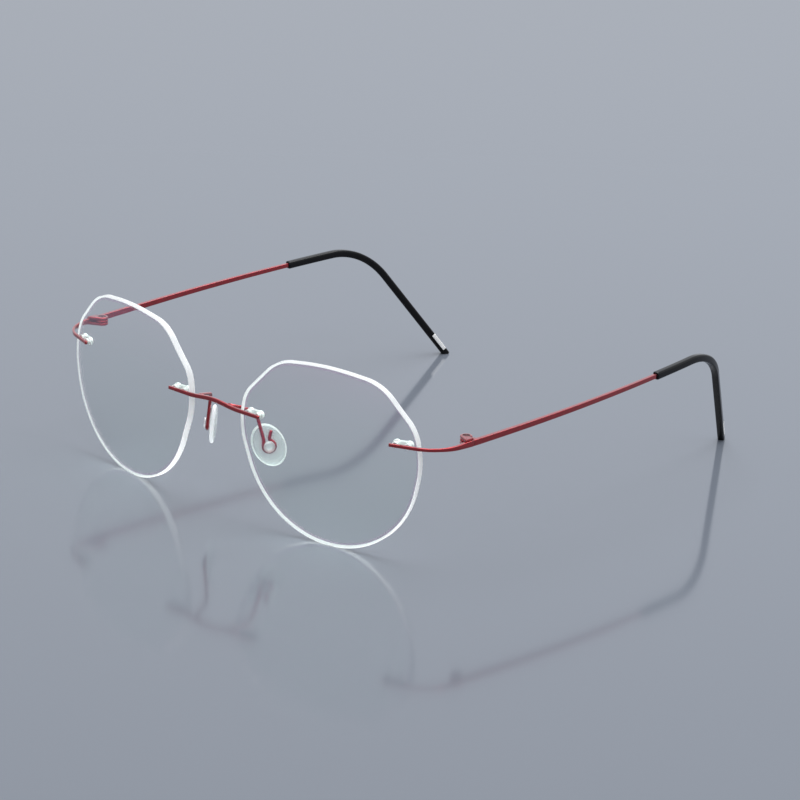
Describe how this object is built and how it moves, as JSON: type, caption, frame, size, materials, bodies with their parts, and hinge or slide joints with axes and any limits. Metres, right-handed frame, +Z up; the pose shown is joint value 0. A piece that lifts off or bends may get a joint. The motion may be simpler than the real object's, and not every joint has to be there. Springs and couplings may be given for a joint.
{
  "type": "rimless eyeglasses",
  "caption": "Rimless eyeglasses with rounded lenses on compression mounts, a thin strip bridge, hooked nose pads and slim folding temples with bent ear tips.",
  "frame": {"origin": "on the surface the open glasses stand on, in the middle of their width and of their length", "axes": "+Z up, the front faces -Y, the temples run back along +Y, and the wearer's left is +X"},
  "size_m": [0.1412, 0.1514, 0.0484],
  "materials": {
    "clear_lens_resin": "polished clear resin with a faint blue-green anti-reflection coating",
    "clear_nylon_plug": "clear moulded nylon",
    "red_lacquered_metal": "glossy translucent red lacquer over polished metal",
    "dark_screw_steel": "dark red plated steel",
    "black_tip_plastic": "glossy black moulded plastic",
    "bright_inlay_metal": "bright polished metal",
    "clear_silicone_pad": "soft clear silicone",
    "clear_pad_core": "clear hard plastic"
  },
  "bodies": {
    "front": {"bridge": "red_lacquered_metal", "left_lens": "clear_lens_resin", "left_temple_side_plug": "clear_nylon_plug", "left_nose_side_plug": "clear_nylon_plug", "left_end_piece": "red_lacquered_metal", "left_hinge_screw": "dark_screw_steel", "left_pad_arm": "red_lacquered_metal", "right_lens": "clear_lens_resin", "right_temple_side_plug": "clear_nylon_plug", "right_nose_side_plug": "clear_nylon_plug", "right_end_piece": "red_lacquered_metal", "right_hinge_screw": "dark_screw_steel", "right_pad_arm": "red_lacquered_metal"},
    "left_temple_arm": {"left_temple": "red_lacquered_metal", "left_temple_tip": "black_tip_plastic", "left_tip_inlay": "bright_inlay_metal"},
    "right_temple_arm": {"right_temple": "red_lacquered_metal", "right_temple_tip": "black_tip_plastic", "right_tip_inlay": "bright_inlay_metal"},
    "left_pad_unit": {"left_nose_pad": "clear_silicone_pad", "left_pad_stud": "clear_pad_core"},
    "right_pad_unit": {"right_nose_pad": "clear_silicone_pad", "right_pad_stud": "clear_pad_core"}
  },
  "joints": [
    {"name": "left_temple_fold", "type": "hinge", "parent": "front", "child": "left_temple_arm", "pos_m": [0.0668, -0.0515, 0.0325], "axis": [0, 0, 1], "range_deg": [0, 88]},
    {"name": "right_temple_fold", "type": "hinge", "parent": "front", "child": "right_temple_arm", "pos_m": [-0.0668, -0.0515, 0.0325], "axis": [0, 0, -1], "range_deg": [0, 80]},
    {"name": "left_pad_swivel", "type": "hinge", "parent": "front", "child": "left_pad_unit", "pos_m": [0.0108, -0.0643, 0.0197], "axis": [0.7623, -0.6429, 0.0745], "range_deg": [-8, 8]},
    {"name": "right_pad_swivel", "type": "hinge", "parent": "front", "child": "right_pad_unit", "pos_m": [-0.0108, -0.0643, 0.0197], "axis": [-0.7623, -0.6429, 0.0745], "range_deg": [-8, 8]}
  ]
}
